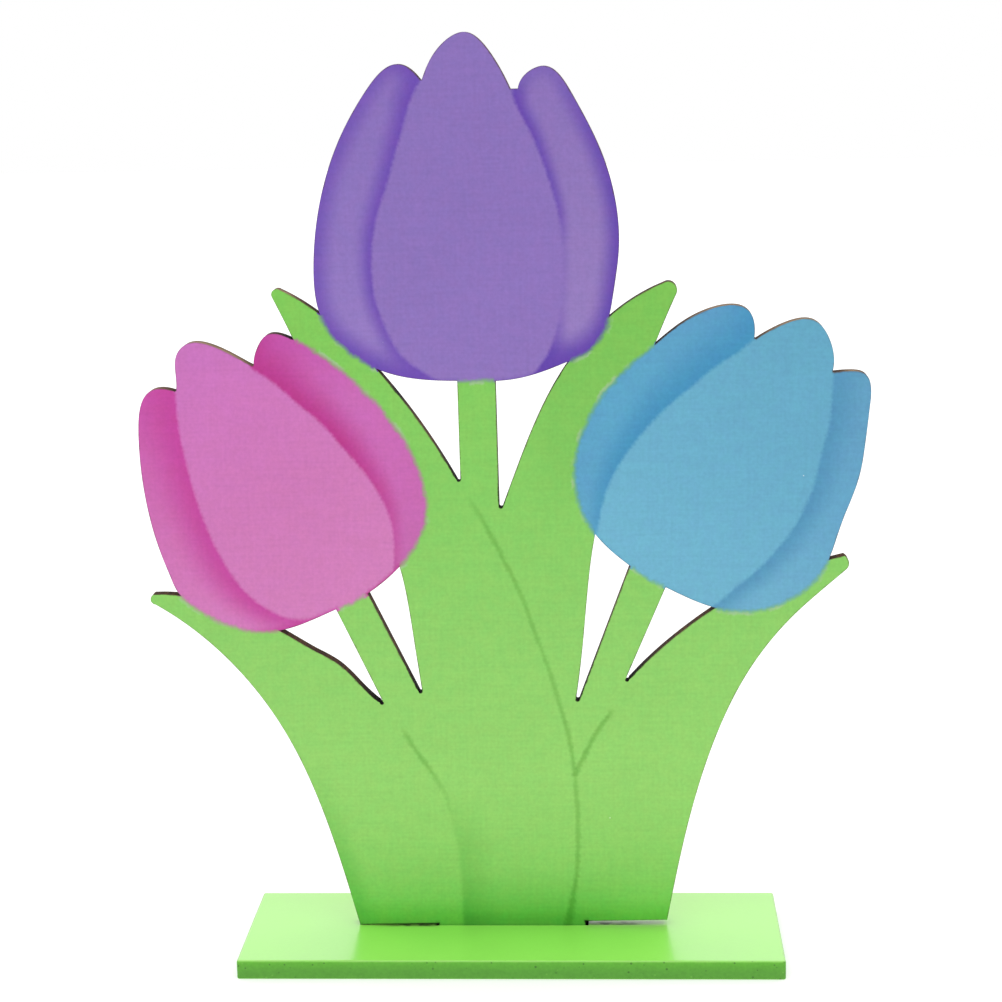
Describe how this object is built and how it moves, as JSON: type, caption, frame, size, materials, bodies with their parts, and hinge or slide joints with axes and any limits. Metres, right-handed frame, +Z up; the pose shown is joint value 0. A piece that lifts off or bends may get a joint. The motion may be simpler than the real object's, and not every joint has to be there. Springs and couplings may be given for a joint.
{
  "type": "wooden tulip ornament",
  "caption": "Flat cut-out wooden tulips, printed on a board that stands by its tab in a slotted green base plate.",
  "frame": {"origin": "middle of the base's underside, on the surface that it stands on", "axes": "+Z up the panel, +X to the right along the base, the printed front faces -Y"},
  "size_m": [0.1985, 0.05, 0.2534],
  "materials": {
    "green_paint": "glossy green paint on board",
    "printed_board": "satin print on board with scorched cut edges"
  },
  "bodies": {
    "base": {"base_plate": "green_paint"},
    "panel": {"tulip_panel": "printed_board"}
  },
  "joints": [
    {"name": "panel_lift", "type": "slide", "parent": "base", "child": "panel", "axis": [0, 0, 1], "range_m": [0, 0.03]}
  ]
}
